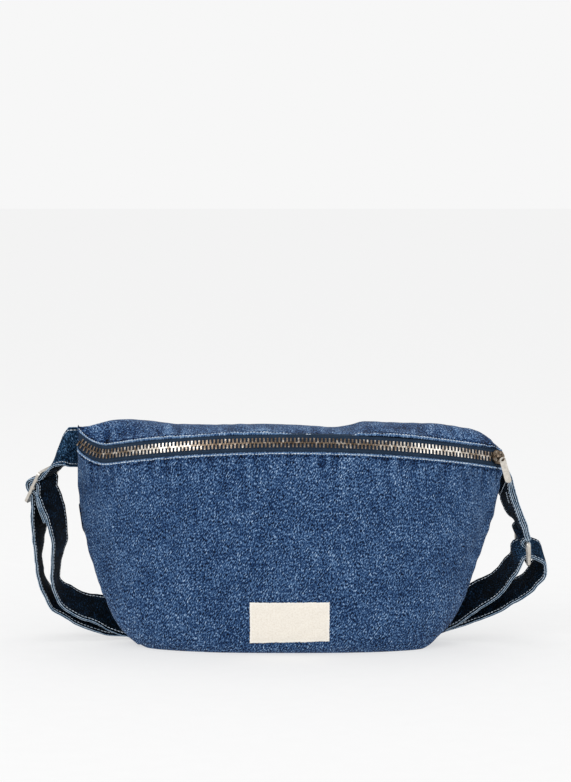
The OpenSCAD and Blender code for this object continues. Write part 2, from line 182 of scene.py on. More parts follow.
def path_x(s):
    angle = path_angle(s)
    turned = np.sign(s) * INNER_R * math.sin(HALF_ANGLE) + TURN_R * np.sin(angle)
    return np.where(np.abs(s) <= MAIN_S, ZIP_R * np.sin(angle), turned)


def path_out(s):
    angle = path_angle(s)
    turned = INNER_R * math.cos(HALF_ANGLE) + TURN_R * np.cos(angle)
    return np.where(np.abs(s) <= MAIN_S, ZIP_R * np.cos(angle), turned) - ZIP_R


def curl(s):
    """The zip's left end curls up over the last stretch of the long arc."""
    return CURL_H * (np.maximum(0, -s - MAIN_S + CURL_L) / CURL_L) ** 2


def zip_point(s):
    return (ZIP_FRONT + path_x(s)[..., None] * AXIS_X + path_out(s)[..., None] * ZIP_OUT
            + curl(s)[..., None] * ZIP_UP)


# Outline of the bag seen from the front, as [distance from the middle, height]
LEFT_SIDE = [[100, 0], [110, 1], [118, 3.5], [131.5, 12], [142, 25], [149.5, 40], [155, 54.5],
             [160.5, 72], [164.5, 92], [167.5, 107], [169.2, 118], [169.8, 130], [170, 146]]
RIGHT_SIDE = [[96, 0], [104, 1.5], [115, 6], [126.5, 15.5], [135.7, 30], [143.5, 47], [148.5, 62],
              [151.5, 74], [154.5, 86], [160.5, 97], [163, 108], [165, 124], [170, 142]]
# Top edge of the crown, as [x, height]
CROWN = [[-170, 175], [-160, 176.5], [-151, 180], [-141, 182.5], [-127, 183], [-110, 181.5],
         [-92, 179], [-60, 178], [-20, 179], [10, 178], [40, 175.5], [49, 176], [58, 179.5],
         [80, 180], [119, 179.5], [134, 176.5], [147, 174.5], [158, 168.5], [165, 160], [170, 155]]


def outline(knots, reach, x):
    """Height along an outline, with its corners rounded over reach millimetres."""
    fine = np.arange(knots[0][0] - 40, knots[-1][0] + 40, 0.25)
    heights = np.interp(fine, [k[0] for k in knots], [k[1] for k in knots])
    return np.interp(x, fine, soften(heights, int(reach / 0.25)))


def low_z(x):
    left = outline(LEFT_SIDE, 5, -x)
    right = outline(RIGHT_SIDE, 5, x)
    return np.maximum(0, np.where(x < 0, left, right))


def crown_z(x):
    return outline(CROWN, 7, x)


def full(s):
    return np.sqrt(np.maximum(0, 1 - np.minimum(1, np.abs(s) / SEAM_S) ** 2.6))


def base_full(x):
    return np.maximum(0.05, 1 - np.minimum(1, np.abs(x) / 150) ** 3)


def point(x, y, z):
    return np.stack(np.broadcast_arrays(x, y, z), axis=-1).astype(float)


def mix_points(weights, points):
    return sum(w[..., None] * p for w, p in zip(weights, points))


def bezier3(a, b, c, d, t):
    return mix_points([(1 - t) ** 3, 3 * (1 - t) ** 2 * t, 3 * (1 - t) * t**2, t**3], [a, b, c, d])


def bottom_seam(s):
    x = path_x(s)
    return point(x, 12 + 10 * full(s), low_z(x))


def top_seam(s):
    x = path_x(s)
    return point(x, 12 + 12 * full(s), crown_z(x) - 5 * full(s))


def front_surface(s, t):
    """t goes from 0 to 1 down the front, and from 1 to 2 back under the base."""
    x = path_x(s)
    q = full(s)
    a = zip_point(s) - TAPE_SHOW * ZIP_UP
    e = bottom_seam(s)
    d = e - point(0, BASE_DEPTH * base_full(x), 0)
    b = a + point(0, -4.5 * q, -0.62 * (a[..., 2] - d[..., 2]))
    c = d - point(0, 18 * q, 0)
    down = bezier3(a, b, c, d, np.minimum(t, 1))
    under = d + (e - d) * np.maximum(t - 1, 0)[..., None]
    return np.where((t <= 1)[..., None], down, under)


def crown_surface(s, t):
    q = full(s)
    a = zip_point(s) + TAPE_SHOW * ZIP_UP
    c = top_seam(s)
    a[..., 2] = np.minimum(a[..., 2], c[..., 2] - 0.5)
    b = point(path_x(s), (a[..., 1] + c[..., 1]) / 2, crown_z(path_x(s)) + 6 * q)
    return mix_points([(1 - t) ** 2, 2 * (1 - t) * t, t**2], [a, b, c])


def back_surface(s, t):
    q = full(s)
    a = top_seam(s)
    d = bottom_seam(s)
    h = a[..., 2] - d[..., 2]
    return bezier3(a, a + point(0, 12 * q, -0.3 * h), d + point(0, 7 * q, 0.3 * h), d, t)


def even_columns(step):
    """Places along the zip, about step apart along the zip and along the bag's outline below it."""
    s = np.linspace(-SEAM_S + 0.4, SEAM_S - 0.4, 6000)
    low = bottom_seam(s)
    travel = np.linalg.norm(np.diff(low, axis=0), axis=1) + np.diff(s)
    length = np.concatenate([[0], np.cumsum(travel)]) / 2
    return np.interp(np.linspace(0, length[-1], int(length[-1] / step)), length, s)


INWARD_CAP = 0.4
CLOTH_SPACING = 4.5
CLOTH_FRAMES = 20
CLOTH_PRESSURE = 0.25


def settle(grid, side, slack, cap):
    """Cloth simulation: the panel hangs from its sewn edges with a little spare cloth.

    Side is 1 where the grid's normals point out of the bag, and -1 where they point into it. The
    simulation runs on a coarser grid, and its movement, at most cap outwards and INWARD_CAP inwards,
    is spread over the fine one."""
    n, m = grid.shape[:2]
    long = np.linalg.norm(np.diff(grid, axis=0), axis=-1).sum(0).mean()
    tall = np.linalg.norm(np.diff(grid, axis=1), axis=-1).sum(1).mean()
    rows = np.unique(np.linspace(0, n - 1, int(long / CLOTH_SPACING)).astype(int))
    cols = np.unique(np.linspace(0, m - 1, int(tall / CLOTH_SPACING)).astype(int))
    coarse = grid[np.ix_(rows, cols)]
    a, b = coarse.shape[:2]
    faces = grid_faces(a, b)[:, ::-side]
    piece = mesh_piece("settling", coarse.reshape(-1, 3), faces, bpy.data.materials.new("none"))
    border = np.zeros((a, b), bool)
    border[[0, -1], :] = True
    border[:, [0, -1]] = True
    pins = piece.vertex_groups.new(name="pins")
    pins.add(np.flatnonzero(border).tolist(), 1.0, "REPLACE")
    settings = piece.modifiers.new("cloth", "CLOTH").settings
    for key, value in dict(
            quality=6, mass=0.3, tension_stiffness=25, compression_stiffness=25, bending_stiffness=1.5,
            shrink_min=-slack, vertex_group_mass="pins", use_pressure=True,
            uniform_pressure_force=CLOTH_PRESSURE).items():
        setattr(settings, key, value)
    settings.effector_weights.gravity = 0.3
    for number in range(1, CLOTH_FRAMES + 1):
        bpy.context.scene.frame_set(number)
    evaluated = piece.evaluated_get(bpy.context.evaluated_depsgraph_get())
    moved = np.array([v.co for v in evaluated.data.vertices]).reshape(a, b, 3) / MM
    bpy.data.objects.remove(piece)
    bpy.context.scene.frame_set(1)
    shift = moved - coarse
    outward = side * grid_normals(coarse)
    depth = np.maximum(0, -(shift * outward).sum(-1, keepdims=True) - INWARD_CAP)
    shift = shift + depth * outward
    size = np.linalg.norm(shift, axis=-1, keepdims=True)
    shift = shift * np.minimum(1, cap / np.maximum(size, 1e-6))
    by_col = np.empty((a, m, 3))
    spread = np.empty((n, m, 3))
    reach = max(3, 2 * n // a)
    for k in range(3):
        for i in range(a):
            by_col[i, :, k] = np.interp(np.arange(m), cols, shift[i, :, k])
        for j in range(m):
            spread[:, j, k] = np.interp(np.arange(n), rows, by_col[:, j, k])
            spread[1:-1, j, k] = soften(spread[:, j, k], reach)[1:-1]
    return grid + spread


# ---- materials ----
class Shader:
    """A procedural material, with short calls for its nodes."""

    def __init__(self, name, **values):
        self.material = bpy.data.materials.new(name)
        self.material.use_nodes = True
        self.tree = self.material.node_tree
        self.surface = self.tree.nodes["Principled BSDF"]
        for key, value in values.items():
            self.surface.inputs[key.replace("_", " ")].default_value = value

    def node(self, kind, inputs=(), **settings):
        made = self.tree.nodes.new("ShaderNode" + kind)
        for key, value in settings.items():
            setattr(made, key, value)
        for key, value in dict(inputs).items():
            self.put(made.inputs[key], value)
        return made

    def put(self, socket, value):
        if isinstance(value, bpy.types.NodeSocket):
            self.tree.links.new(value, socket)
        else:
            socket.default_value = value

    def math(self, operation, *values):
        return self.node("Math", dict(enumerate(values)), operation=operation).outputs[0]

    def rescale(self, value, low, high, to_low=0.0, to_high=1.0):
        made = self.node("MapRange", {0: value, 1: low, 2: high, 3: to_low, 4: to_high})
        return made.outputs[0]

    def noise(self, vector, scale, detail=2.0, roughness=0.5):
        inputs = {"Vector": vector, "Scale": scale, "Detail": detail, "Roughness": roughness}
        return self.node("TexNoise", inputs).outputs["Fac"]

    def ramp(self, value, stops):
        made = self.node("ValToRGB", {"Fac": value})
        points = made.color_ramp.elements
        while len(points) < len(stops):
            points.new(0.5)
        for element, (place, colour) in zip(points, stops):
            element.position = place
            element.color = (*colour, 1.0)
        return made.outputs["Color"]

    def stretched(self, x, y, size_x, size_y, layer=0.0):
        """A flat place for noise, with x and y in millimetres and features a few sizes long."""
        return self.node("CombineXYZ", {"X": self.math("MULTIPLY", x, size_x),
                                        "Y": self.math("MULTIPLY", y, size_y), "Z": layer}).outputs[0]

    def centred(self, value, low, high):
        return self.rescale(value, low, high, -0.5, 0.5)

    def cloth(self):
        """The place on the cloth in millimetres, and its parts: two directions and tone."""
        place = self.attribute("cloth").outputs["Vector"]
        return place, self.node("SeparateXYZ", {"Vector": place}).outputs

    def wave(self, value, pitch):
        return self.math("SINE", self.math("MULTIPLY", value, 2 * math.pi / pitch))

    def attribute(self, name):
        return self.node("Attribute", attribute_name=name)

    def layered(self, value, *layers):
        """Adds each layer to value, by its share."""
        for layer, share in layers:
            value = self.math("MULTIPLY_ADD", layer, share, value)
        return value

    def bump(self, height, distance, strength=1.0):
        made = self.node("Bump", {"Height": height, "Distance": distance, "Strength": strength})
        self.put(self.surface.inputs["Normal"], made.outputs["Normal"])

    def colour(self, value):
        self.put(self.surface.inputs["Base Color"], value)


TWILL_ANGLE = math.radians(56)
TWILL_PITCH = 1.7
DENIM_STOPS = [
    (0.0, (0.0008, 0.0022, 0.0065)), (0.14, (0.0024, 0.010, 0.036)), (0.32, (0.0060, 0.027, 0.092)),
    (0.52, (0.026, 0.071, 0.174)), (0.70, (0.088, 0.174, 0.330)), (0.86, (0.180, 0.295, 0.470)),
    (1.0, (0.420, 0.540, 0.700))]
DARK_STOPS = [
    (0.0, (0.0004, 0.0016, 0.0030)), (0.16, (0.0018, 0.0060, 0.0130)), (0.34, (0.0058, 0.020, 0.046)),
    (0.52, (0.020, 0.060, 0.128)), (0.70, (0.075, 0.150, 0.255)), (0.86, (0.230, 0.340, 0.460)),
    (1.0, (0.520, 0.610, 0.700))]


def denim_material(name, stops, grain, sheen, gloss):
    """Washed twill: slanting ribs, pale flecks, clouds of wash, and wear where cloth is folded, with
    painted shade in stitched grooves and between strap plies.

    The cloth attribute holds the place on the cloth in millimetres and the tone, 1 washed to 0 dark; on the
    straps the dark tone is partly painted shade and partly unwashed denim."""
    shader = Shader(name, Roughness=0.9, Sheen_Weight=sheen, Specular_IOR_Level=gloss)
    place, parts = shader.cloth()
    wear_and_shade = shader.attribute("wear_and_shade").outputs["Fac"]
    cos_a, sin_a = math.cos(TWILL_ANGLE), math.sin(TWILL_ANGLE)
    along = shader.math("ADD", shader.math("MULTIPLY", parts[0], cos_a),
                        shader.math("MULTIPLY", parts[1], sin_a))
    across = shader.math("SUBTRACT", shader.math("MULTIPLY", parts[1], cos_a),
                         shader.math("MULTIPLY", parts[0], sin_a))
    flat = shader.node("CombineXYZ", {"X": parts[0], "Y": parts[1]}).outputs[0]
    phase = shader.math("MULTIPLY", across, 2 * math.pi / TWILL_PITCH)
    phase = shader.math("ADD", phase, shader.math("MULTIPLY", shader.noise(flat, 0.25, 3.0), 6.0))
    rib = shader.math("MULTIPLY_ADD", shader.math("SINE", phase), 0.5, 0.5)
    yarn = shader.stretched(along, across, 0.50, 1.05)
    fleck = shader.centred(shader.noise(yarn, 1.0, 1.0, 0.6), 0.36, 0.64)
    weft = shader.stretched(parts[0], parts[1], 1.0, 0.55, 7.0)
    slub = shader.centred(shader.noise(weft, 1.0, 1.0), 0.36, 0.64)
    streak = shader.stretched(parts[0], parts[1], 0.16, 0.035, 3.0)
    rubbed_and_highlit = shader.centred(shader.noise(streak, 1.0, 3.0, 0.6), 0.3, 0.7)
    wash = shader.centred(shader.noise(flat, 0.03, 3.0, 0.55), 0.3, 0.7)
    cloud = shader.centred(shader.noise(flat, 0.13, 3.0, 0.6), 0.3, 0.7)
    thin = shader.rescale(wear_and_shade, 0.2, 0.9, 1.0, 0.25)
    weave = shader.math("MULTIPLY_ADD", fleck, 0.58 * grain, shader.math("MULTIPLY", slub, 0.42 * grain))
    value = shader.layered(0.392, (weave, thin), (rib, 0.10), (wash, 0.12), (cloud, 0.17), (rubbed_and_highlit, 0.12),
                           (wear_and_shade, 0.38))
    value = shader.math("ADD", value, shader.math("MULTIPLY_ADD", parts[2], 0.42, -0.42))
    shader.colour(shader.ramp(value, stops))
    height = shader.math("MULTIPLY_ADD", rib, 0.6, shader.math("MULTIPLY", fleck, 0.6))
    shader.bump(height, 0.0004, 0.6)
    return shader.material


def thread_material():
    """Pale blue cotton thread with its ply."""
    shader = Shader("pale_thread", Roughness=0.75, Sheen_Weight=0.2)
    place = shader.node("TexCoord").outputs["Object"]
    tint = shader.noise(place, 260.0, 2.0)
    stops = [(0.25, (0.30, 0.40, 0.52)), (0.6, (0.60, 0.69, 0.78)), (0.85, (0.82, 0.87, 0.92))]
    shader.colour(shader.ramp(tint, stops))
    shader.bump(shader.noise(place, 2600.0, 1.0), 0.0002, 0.5)
    return shader.material


def tape_material():
    """Dark slate woven zip tape: fine ribs across it, and faint lengthwise cords."""
    shader = Shader("zip_tape_weave", Roughness=0.85, Specular_IOR_Level=0.15)
    place, parts = shader.cloth()
    rib = shader.wave(parts[0], 0.9)
    cord = shader.wave(parts[1], 1.6)
    grain = shader.noise(place, 1.3, 3.0, 0.7)
    patch = shader.noise(place, 0.12, 2.0)
    value = shader.layered(shader.math("MULTIPLY", grain, 0.6), (rib, 0.08), (cord, 0.05), (patch, 0.3))
    stops = [(0.2, (0.006, 0.015, 0.030)), (0.5, (0.017, 0.034, 0.064)), (0.8, (0.045, 0.075, 0.118))]
    shader.colour(shader.ramp(value, stops))
    shader.bump(shader.math("ADD", rib, cord), 0.00012, 0.6)
    return shader.material


def metal_material(name, stops, rough_low, rough_high, grain, rubbed_and_highlit=()):
    """Plated metal with cloudy tarnish, uneven polish and fine scratches.

    Each stretch is [middle, half width] in metres along X, where the colour is made paler as a painted
    highlight."""
    shader = Shader(name, Metallic=1.0)
    place = shader.node("TexCoord").outputs["Object"]
    tarnish = shader.noise(place, 260.0, 3.0, 0.7)
    # Paler colour over the given stretches along X: painted highlight.
    for middle, half in rubbed_and_highlit:
        x = shader.node("SeparateXYZ", {0: place}).outputs[0]
        off = shader.math("ABSOLUTE", shader.math("SUBTRACT", x, middle))
        tarnish = shader.math("ADD", tarnish, shader.rescale(off, 0.0, half, 0.26, 0.0))
    shader.colour(shader.ramp(tarnish, stops))
    polish = shader.noise(place, 420.0, 3.0)
    shader.put(shader.surface.inputs["Roughness"], shader.rescale(polish, 0.3, 0.7, rough_low, rough_high))
    stretched = shader.node("Mapping", {"Vector": place, "Scale": (900.0, 2600.0, 900.0)}).outputs[0]
    shader.bump(shader.noise(stretched, 1.0, 2.0), grain, 0.35)
    return shader.material


def canvas_material():
    """Undyed plain-woven canvas: threads over and under, slubs, a paler edge, and painted shade in the
    stitched groove.
    """
    shader = Shader("cream_canvas", Roughness=0.9, Sheen_Weight=0.15)
    place, parts = shader.cloth()
    wear_and_shade = shader.attribute("wear_and_shade").outputs["Fac"]
    weave = shader.math("MULTIPLY", shader.wave(parts[0], 0.85), shader.wave(parts[1], 0.85))
    slub = shader.noise(place, 0.7, 3.0, 0.7)
    value = shader.layered(shader.math("MULTIPLY", slub, 0.8), (weave, 0.10), (wear_and_shade, 0.5))
    stops = [(0.15, (0.76, 0.69, 0.58)), (0.42, (0.92, 0.86, 0.765)), (0.8, (1.0, 0.965, 0.90))]
    shader.colour(shader.ramp(value, stops))
    shader.bump(weave, 0.00012, 0.5)
    return shader.material


def cotton_material():
    """Plain lining cotton."""
    shader = Shader("lining_cotton", Roughness=0.92)
    place, parts = shader.cloth()
    weave = shader.math("MULTIPLY", shader.wave(parts[0], 0.6), shader.wave(parts[1], 0.6))
    value = shader.math("MULTIPLY_ADD", weave, 0.12, shader.noise(place, 0.3, 3.0))
    shader.colour(shader.ramp(value, [(0.3, (0.42, 0.40, 0.35)), (0.7, (0.62, 0.60, 0.54))]))
    shader.bump(value, 0.0001, 0.5)
    return shader.material


DENIM = denim_material("washed_denim", DENIM_STOPS, 1.0, 0.05, 0.12)
THREAD = thread_material()
TAPE = tape_material()
CANVAS = canvas_material()
COTTON = cotton_material()
# The two stretches listed for the brass are painted highlights.
BRASS = metal_material(
    "antique_brass",
    [(0.34, (0.060, 0.045, 0.032)), (0.55, (0.20, 0.152, 0.112)), (0.82, (0.90, 0.85, 0.77))],
    0.20, 0.40, 0.00005, rubbed_and_highlit=((-0.102, 0.040), (0.110, 0.060)))
NICKEL = metal_material(
    "satin_nickel", [(0.3, (0.46, 0.43, 0.385)), (0.6, (0.62, 0.585, 0.53)), (0.85, (0.76, 0.73, 0.68))],
    0.24, 0.40, 0.00003)


def sewn(piece, slot, *nodes):
    """A piece of the bag itself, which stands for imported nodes."""
    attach(piece, "bag")
    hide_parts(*nodes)


def carry(piece, body, blend):
    """The piece rides on one body; with a blend it is left unattached, with its transform baked into its
    points.
    """
    if blend:
        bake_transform(piece)
    else:
        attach(piece, body)


def cloth_places(u, v, tone):
    """The cloth attribute for both sides of a closed sheet; the inner side is dark where tone is used."""
    outer = np.stack([u, v, tone], axis=-1).reshape(-1, 3)
    return np.concatenate([outer, outer * [1, 1, 0]])


# ---- stitches ----
def stitch_row(name, points, normals, body, pitch=2.6, gap=0.55, radius=0.42, sink=0.28, blend=None):
    """One mesh of separate thread stitches along a line that lies on cloth."""
    lengths = np.concatenate([[0], np.cumsum(np.linalg.norm(np.diff(points, axis=0), axis=1))])
    count = max(1, int(lengths[-1] / pitch))
    sides, rings = 6, 5
    walls, index = tube_faces(rings, sides)
    around = np.linspace(0, 2 * math.pi, sides, endpoint=False)
    verts, faces = [], []
    at = lambda values, d: np.stack([np.interp(d, lengths, values[:, k]) for k in range(3)], axis=-1)
    for number in range(count):
        start = (number + 0.5 * gap / pitch) * lengths[-1] / count
        stop = start + lengths[-1] / count - gap
        travel = np.linspace(0, 1, rings)
        middle = at(points, start + (stop - start) * travel)
        up = unit(at(normals, start + (stop - start) * travel))
        ahead = unit(np.gradient(middle, axis=0))
        side = unit(np.cross(ahead, up))
        arch = np.sin(travel * math.pi) ** 0.5
        swell = radius * (0.55 + 0.45 * arch)
        middle = middle + up * (sink * arch - sink * 0.5)[:, None]
        ring = (middle[:, None] + side[:, None] * (np.cos(around) * swell[:, None])[..., None]
                + up[:, None] * (np.sin(around) * swell[:, None] * 0.8)[..., None])
        base = number * sides * rings
        verts.append(ring.reshape(-1, 3))
        faces.extend((walls[:, [0, 3, 2, 1]] + base).tolist())
        faces.extend([(index[0, ::-1] + base).tolist(), (index[-1] + base).tolist()])
    piece = mesh_piece(name, np.concatenate(verts), faces, THREAD)
    carry(piece, body, blend)


# ---- bag panels ----
def lengths_down(grid):
    steps = np.linalg.norm(np.diff(grid, axis=1), axis=-1)
    return np.concatenate([np.zeros((grid.shape[0], 1)), np.cumsum(steps, axis=1)], axis=1)


def lengths_along(grid):
    steps = np.linalg.norm(np.diff(grid, axis=0), axis=-1).mean(1)
    run = np.concatenate([[0], np.cumsum(steps)])
    return run - run[-1] / 2


def measure(grid):
    """Distances on a panel: down from its first edge, up from its last, along it, and from its ends."""
    down = lengths_down(grid)
    return down, down[:, -1:] - down, lengths_along(grid)[:, None] + 0 * down, SEAM_S - np.abs(S) + 0 * down


LIP = 2.3


def edge_profile(d):
    """Height of folded, topstitched cloth at distance d from its edge: a lip, a groove and a swell."""
    over_tape = 1.5 * np.exp(-d / 8)
    lip = 0.55 * bump(d, 1.1, 0.9)
    groove = -0.75 * bump(d, LIP, 0.8)
    swell = 0.5 * bump(d, 4.8, 2.2)
    tuck = -1.5 * np.clip(1 - d / 0.8, 0, 1) ** 2
    return over_tape + lip + groove + swell + tuck


def seam_profile(d, depth):
    """A plain seam pulls the cloth in over its last few millimetres."""
    return -depth * np.exp(-np.maximum(d, 0) / 1.6)


def panel(name, nodes, grid, relief, wear_and_shade, tone, u, v):
    """A denim panel as a closed sheet, with relief added along its normals."""
    grid = grid + grid_normals(grid) * relief[..., None]
    normal = grid_normals(grid)
    points, faces = closed_sheet(grid, normal, DENIM_T)
    values = {"cloth": cloth_places(u, v, tone), "wear_and_shade": np.concatenate([wear_and_shade.ravel(), 0 * wear_and_shade.ravel()])}
    sewn(mesh_piece(name, points, faces, DENIM, values), "denim", *nodes)
    return grid, normal


def line_on(grid, normal, down, distance):
    """Points and normals along a panel at one distance from its first edge."""
    points, up = (
        np.array([[np.interp(distance, at, row[:, k]) for k in range(3)] for at, row in zip(down, values)])
        for values in (grid, normal))
    return points, unit(up)


columns = even_columns(1.5)
S = columns[:, None]

# The front and base
front_t = np.concatenate([
    np.linspace(0, 0.05, 14)[:-1], np.linspace(0.05, 1, 96), np.linspace(1, 2, 30)[1:]])
front_grid = settle(front_surface(S, front_t[None, :]), 1, slack=0.012, cap=3.0)
down, low, run, end = measure(front_grid)
X = front_grid[..., 0]
Z = front_grid[..., 2]
pucker = ripples(run, down, 9, 46, 3) * np.exp(-down / 11) * (1 - np.exp(-down / 2.5))
side_pucker = ripples(down, end, 13, 40, 5) * np.exp(-end / 10)
low_pucker = ripples(run, low, 12, 60, 7) * np.exp(-low / 16)
sag = ripples(X, Z, 120, 90, 11) * smoothstep(4, 40, down) * smoothstep(0, 30, low)
folds = ripples(X + 0.35 * Z, Z, 26, 150, 13) * smoothstep(0, 12, down) * np.exp(-down / 70)


def dart(x0, z0, x1, z1, width):
    """How near each point is to a sewn dart that runs between two places on the front."""
    ax, az = x1 - x0, z1 - z0
    t = np.clip(((X - x0) * ax + (Z - z0) * az) / (ax * ax + az * az), 0, 1)
    gap = np.hypot(X - x0 - t * ax, Z - z0 - t * az)
    return np.exp(-((gap / width) ** 2)) * smoothstep(0, 0.25, 1.02 - t)


darts = dart(-133, 22, -126, 62, 1.3) + dart(101, 2, 97, 40, 1.3)
dart_swell = dart(-133, 22, -126, 62, 7.0) + dart(101, 2, 97, 40, 7.0)
relief = (
    edge_profile(down) + seam_profile(low, 1.2) + 1.5 * pucker + 0.9 * side_pucker
    + 0.55 * low_pucker + 1.1 * sag + 0.55 * folds - 0.9 * darts * (Z > 1) + 0.8 * dart_swell * (Z > 1))
base_flat = (1 - smoothstep(0.4, 7, Z)) * (np.abs(X) < 120)
relief = relief * (1 - base_flat) * smoothstep(0, 8, end)
# Pale worn fold, seams and puckers; the negative bump at LIP + 0.9 is painted shade, a dark band in the
# groove just below the topstitching.
wear_and_shade = (
    0.95 * bump(down, 0.9, 0.8) - 0.55 * bump(down, LIP + 0.9, 0.9)
    + 0.42 * np.clip(pucker, -1, 1.4) + 0.26 * np.exp(-end / 3) + 0.26 * np.clip(side_pucker, -1, 1)
    + 0.28 * np.exp(-low / 3) + 0.26 * np.clip(low_pucker, -1, 1) + 0.10 * darts
    + 0.05 * folds + 0.04 * sag)
front_grid, front_normal = panel(
    "front_cloth", ["front_panel"], front_grid, relief, wear_and_shade, 1.0 + 0 * X, run, -down)

# The crown above the zip
crown_t = np.concatenate([np.linspace(0, 0.16, 14)[:-1], np.linspace(0.16, 1, 48)])
crown_grid = settle(crown_surface(S, crown_t[None, :]), -1, slack=0.01, cap=2.0)
down, low, run, end = measure(crown_grid)
pucker = ripples(run, down, 12, 44, 21)
pucker = pucker * (1 - np.exp(-down / 5)) * np.exp(-down / 16)
small = ripples(run, down, 7, 18, 23)
small = small * np.exp(-down / 9) * (1 - np.exp(-down / 2.5))
calm = smoothstep(1, 13, low)
relief = (
    edge_profile(down) + seam_profile(low, 1.0) + 1.7 * pucker * calm + 0.7 * small
    + 0.45 * ripples(run, down, 80, 60, 25) * np.exp(-down / 20))
relief = relief * smoothstep(1, 15, end)
# Pale worn fold and puckers; the negative bump at LIP + 0.9 is painted shade, a dark band in the groove
# beside the topstitching.
wear_and_shade = (
    0.95 * bump(down, 0.9, 0.8) - 0.5 * bump(down, LIP + 0.9, 0.9)
    + 0.8 * np.clip(pucker, -0.6, 1.1) + 0.28 * np.clip(small, -1, 1) + 0.22 * np.exp(-low / 4))
crown_grid, crown_normal = panel(
    "crown_cloth", ["top_panel"], crown_grid[:, ::-1], relief[:, ::-1], wear_and_shade[:, ::-1],
    1.0 + 0 * run, run[:, ::-1], down[:, ::-1])

# The back
back_t = np.linspace(0, 1, 80)
grid = settle(back_surface(S, back_t[None, :]), -1, slack=0.015, cap=4.0)
down, low, run, end = measure(grid)
pucker = ripples(run, down, 13, 50, 31) * np.exp(-down / 16)
foot = ripples(run, low, 12, 50, 33) * np.exp(-low / 14)
relief = smoothstep(0, 12, end) * (
    seam_profile(down, 1.0) + seam_profile(low, 1.2)
    + 0.9 * pucker * smoothstep(0, 9, down) + 0.7 * foot
    + 1.3 * ripples(run, down, 95, 80, 35) * smoothstep(0, 25, low) * smoothstep(0, 25, down))
wear_and_shade = (0.25 * np.exp(-down / 4) + 0.25 * np.exp(-low / 4)
        + 0.2 * np.clip(pucker, -1, 1) + 0.15 * np.clip(foot, -1, 1))
panel(
    "back_cloth", ["back_panel"], grid[:, ::-1], relief[:, ::-1], wear_and_shade[:, ::-1],
    0.95 + 0 * run, -run[:, ::-1], -down[:, ::-1])

# ---- topstitching along the zip ----
for name, grid, normal, reverse in (
        ("front_topstitch", front_grid, front_normal, False),
        ("crown_topstitch", crown_grid, crown_normal, True)):
    if reverse:
        grid, normal = grid[:, ::-1], normal[:, ::-1]
    line, up = line_on(grid, normal, lengths_down(grid), LIP)
    stitch_row(name, line[2:-2], up[2:-2], "bag")

# ---- lining sheets inside the bag ----
LINING_D = DENIM_T + 1.6
lining_s = np.linspace(-MAIN_S, MAIN_S, 150)[:, None]
for name, node, surface, ts, turn in (
        ("lining_front_cloth", "lining_front", front_surface, np.linspace(0.12, 1.9, 70), False),
        ("lining_top_cloth", "lining_top", crown_surface, np.linspace(0.25, 0.9, 24), True),
        ("lining_back_cloth", "lining_back", back_surface, np.linspace(0.06, 0.94, 60), True)):
    grid = surface(lining_s, ts[None, :])
    if turn:
        grid = grid[:, ::-1]
    fall = lengths_down(grid)
    runs = lengths_along(grid)[:, None] + 0 * fall
    normal = grid_normals(grid)
    grid = grid - normal * (LINING_D + 1.0 + 0.4 * ripples(runs, fall, 30, 60, 41))[..., None]
    points, faces = closed_sheet(grid, normal, LINING_T)
    places = cloth_places(runs, fall, 0 * fall)
    sewn(mesh_piece(name, points, faces, COTTON, {"cloth": places}), "lining", node)

# ---- zip tapes, with a corded edge that the teeth grip ----
TAPE_T = 0.7
TAPE_BEAD = 0.7
TAPE_FLAT = 6.7
TAPE_HALF = 8.0
tape_s = np.linspace(-MAIN_S - 1.6, SEAM_S - 1.2, 420)[:, None]
for name, node, side in (
        ("tape_lower_cloth", "zip_tape_lower", -1), ("tape_upper_cloth", "zip_tape_upper", 1)):
    across = np.concatenate([
        np.linspace(TAPE_BEAD, 2.6, 8)[:-1], np.linspace(2.6, TAPE_FLAT, 10)[:-1],
        np.linspace(TAPE_FLAT, TAPE_HALF, 4)])
    outside = unit(zip_point(tape_s) - (ZIP_FRONT - ZIP_R * ZIP_OUT))
    tucked = 2.4 * smoothstep(TAPE_FLAT - 0.4, TAPE_HALF, across)
    grid = zip_point(tape_s) + side * across[:, None] * ZIP_UP - tucked[:, None] * outside
    if side > 0:
        grid = grid[:, ::-1]
        across = across[::-1]
    outwards = grid_normals(grid)
    lift = TAPE_T / 2 + 0.22 * bump(across, 1.0, 0.8) + 0.12 * ripples(tape_s, across, 7, 12, 51)
    points, faces = closed_sheet(grid + outwards * lift[..., None], outwards, TAPE_T)
    runs = tape_s + 0 * across
    places = cloth_places(runs, across + 0 * tape_s, 0 * runs)
    sewn(mesh_piece(name, points, faces, TAPE, {"cloth": places}), "zip_tape", node)

# ---- sewn label ----
label_low, label_high = (np.array(corner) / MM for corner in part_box("label"))


def on_front(x, z):
    """The front panel's point and normal at a place seen from the front."""
    place = np.interp(x, path_x(columns), np.arange(len(columns)))
    i = int(min(len(columns) - 2, place))
    mix = place - i
    upright = front_t <= 1
    column = front_grid[i, upright] * (1 - mix) + front_grid[i + 1, upright] * mix
    facing = front_normal[i, upright] * (1 - mix) + front_normal[i + 1, upright] * mix
    keys = -np.maximum.accumulate(-column[:, 2])
    where = [np.interp(-z, -keys, column[:, k]) for k in range(3)]
    out = [np.interp(-z, -keys, facing[:, k]) for k in range(3)]
    return np.array(where), unit(np.array(out))


